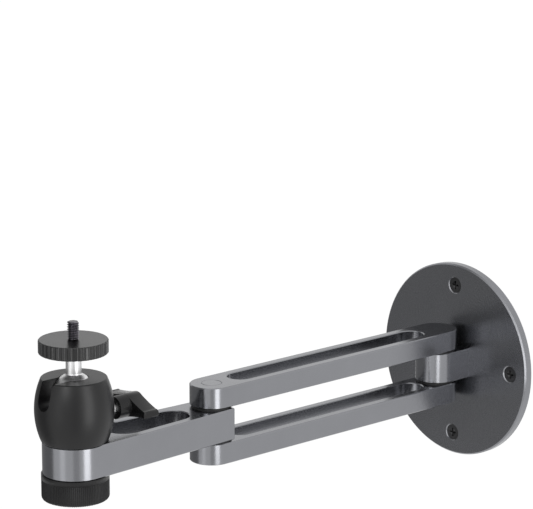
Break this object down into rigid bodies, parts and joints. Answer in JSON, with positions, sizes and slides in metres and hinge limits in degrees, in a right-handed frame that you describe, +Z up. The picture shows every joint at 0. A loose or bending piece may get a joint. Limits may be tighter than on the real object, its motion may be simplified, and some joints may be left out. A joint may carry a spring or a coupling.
{
  "type": "projector wall mount",
  "caption": "Folding wall mount: round plate, two slotted long arms, a slotted short arm and a small ball head with a lock ring and threaded stud for a projector.",
  "frame": {"origin": "centre of the wall plate's back face, on the wall", "axes": "+Y into the wall, -Y along the straight arms into the room, +Z up, +X to the right seen from the room"},
  "size_m": [0.115, 0.3202, 0.1301],
  "materials": {
    "plate": "gunmetal anodised, satin",
    "arms": "gunmetal anodised, satin",
    "head_black": "black anodised, satin",
    "black_steel": "black oxide",
    "bright_steel": "plain steel, fine ground",
    "chrome": "bright chrome",
    "black_plastic": "black moulded plastic",
    "washer_plastic": "black nylon"
  },
  "bodies": {
    "wall_base": {"wall_plate": "plate", "wall_screws": "black_steel", "wall_knuckle": "arms", "knuckle_screws": "black_steel"},
    "long_arms": {"long_arm_upper": "arms", "long_arm_lower": "arms", "wall_pivot_screw": "black_steel", "wall_washer_upper": "washer_plastic", "wall_washer_lower": "washer_plastic", "elbow_pin": "bright_steel", "elbow_screw": "black_steel", "elbow_washer_upper": "washer_plastic", "elbow_washer_lower": "washer_plastic"},
    "short_arm": {"short_arm": "arms"},
    "ball_head": {"ball_housing": "head_black", "base_plug": "head_black", "ball_cup": "washer_plastic"},
    "ball_stem": {"ball_stem": "chrome", "mounting_stud": "black_steel"},
    "lock_ring": {"lock_ring": "head_black"},
    "wing_knob": {"wing_knob": "black_plastic", "wing_screw": "chrome"},
    "clamp_knob": {"bottom_knob": "black_plastic", "clamp_bolt": "bright_steel"}
  },
  "joints": [
    {"name": "wall_swing", "type": "hinge", "parent": "wall_base", "child": "long_arms", "pos_m": [0, -0.0203, 0], "axis": [0, 0, 1], "range_deg": [-90, 90]},
    {"name": "elbow_swing", "type": "hinge", "parent": "long_arms", "child": "short_arm", "pos_m": [0, -0.1943, 0], "axis": [0, 0, 1], "range_deg": [-130, 130]},
    {"name": "head_swivel", "type": "hinge", "parent": "short_arm", "child": "ball_head", "pos_m": [0, -0.2883, 0.0088], "axis": [0, 0, 1], "continuous": true},
    {"name": "ball_tilt", "type": "hinge", "parent": "ball_head", "child": "ball_stem", "pos_m": [0, -0.2883, 0.0344], "axis": [1, 0, 0], "range_deg": [-15, 90]},
    {"name": "ring_turn", "type": "hinge", "parent": "ball_stem", "child": "lock_ring", "pos_m": [0, -0.2883, 0.0595], "axis": [0, 0, 1], "continuous": true},
    {"name": "wing_turn", "type": "hinge", "parent": "ball_head", "child": "wing_knob", "pos_m": [0, -0.2583, 0.0209], "axis": [0, 1, 0], "range_deg": [-43, 30]},
    {"name": "clamp_turn", "type": "hinge", "parent": "short_arm", "child": "clamp_knob", "pos_m": [0, -0.2883, -0.015], "axis": [0, 0, 1], "continuous": true}
  ]
}
